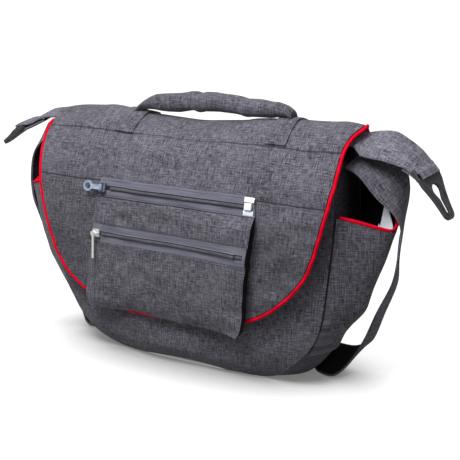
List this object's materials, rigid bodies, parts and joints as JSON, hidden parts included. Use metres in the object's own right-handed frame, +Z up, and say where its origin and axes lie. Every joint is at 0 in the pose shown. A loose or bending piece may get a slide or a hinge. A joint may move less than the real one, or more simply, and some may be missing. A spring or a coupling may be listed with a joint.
{
  "type": "wheelchair handle bag",
  "caption": "Soft messenger bag with flap, zipped pouch, two open side pockets, grab handle, shoulder strap and two plastic strap clips for a wheelchair's push handles.",
  "frame": {"origin": "on the floor under the bag's flat bottom, below the ridge under the grab handle and midway across the flap", "axes": "+X to the right across the bag from clip to clip, +Y from the front flap to the back panel, +Z up"},
  "size_m": [0.6397, 0.1441, 0.3282],
  "materials": {
    "heather_cloth": "melange woven polyester, matt",
    "dark_cloth": "plain dark woven lining cloth, matt",
    "white_lining": "smooth white coated lining",
    "red_piping": "red covered cord piping, slight sheen",
    "zip_tape": "grey woven zip tape with a nylon coil",
    "pull_plastic": "moulded pale grey-blue plastic, satin",
    "clear_plastic": "pale glossy film and moulded box",
    "zip_metal": "plated zinc, polished",
    "hook_plastic": "dark grey moulded acetal, fine texture"
  },
  "bodies": {
    "bag": {"front_panel": "heather_cloth", "back_panel": "dark_cloth", "gusset": "dark_cloth", "side_pocket_right": "heather_cloth", "side_pocket_left": "heather_cloth", "pocket_lining_right": "white_lining", "pocket_lining_left": "white_lining", "pocket_piping_right": "red_piping", "pocket_piping_left": "red_piping", "flap": "heather_cloth", "flap_piping": "red_piping", "pouch_back": "heather_cloth", "pouch_front_upper": "heather_cloth", "pouch_front_lower": "heather_cloth", "zip_upper": "zip_tape", "zip_lower": "zip_tape", "zip_slider_upper": "pull_plastic", "zip_retainer_box": "clear_plastic", "zip_film_upper": "clear_plastic", "zip_film_lower": "clear_plastic", "zip_slider_lower": "zip_metal", "zip_pull_lower": "zip_metal", "handle": "heather_cloth", "handle_tab_left": "heather_cloth", "handle_tab_right": "heather_cloth", "shoulder_strap": "heather_cloth", "hook_strap_right": "heather_cloth", "hook_strap_left": "heather_cloth", "clip_hook_right": "hook_plastic", "clip_hook_left": "hook_plastic"},
    "zip_pull": {"zip_pull_upper": "pull_plastic"}
  },
  "joints": [
    {"name": "zip_pull_hinge", "type": "hinge", "parent": "bag", "child": "zip_pull", "pos_m": [-0.1, -0.08034, 0.21666], "axis": [0, 0.2085, 0.978], "range_deg": [0, 150]}
  ]
}
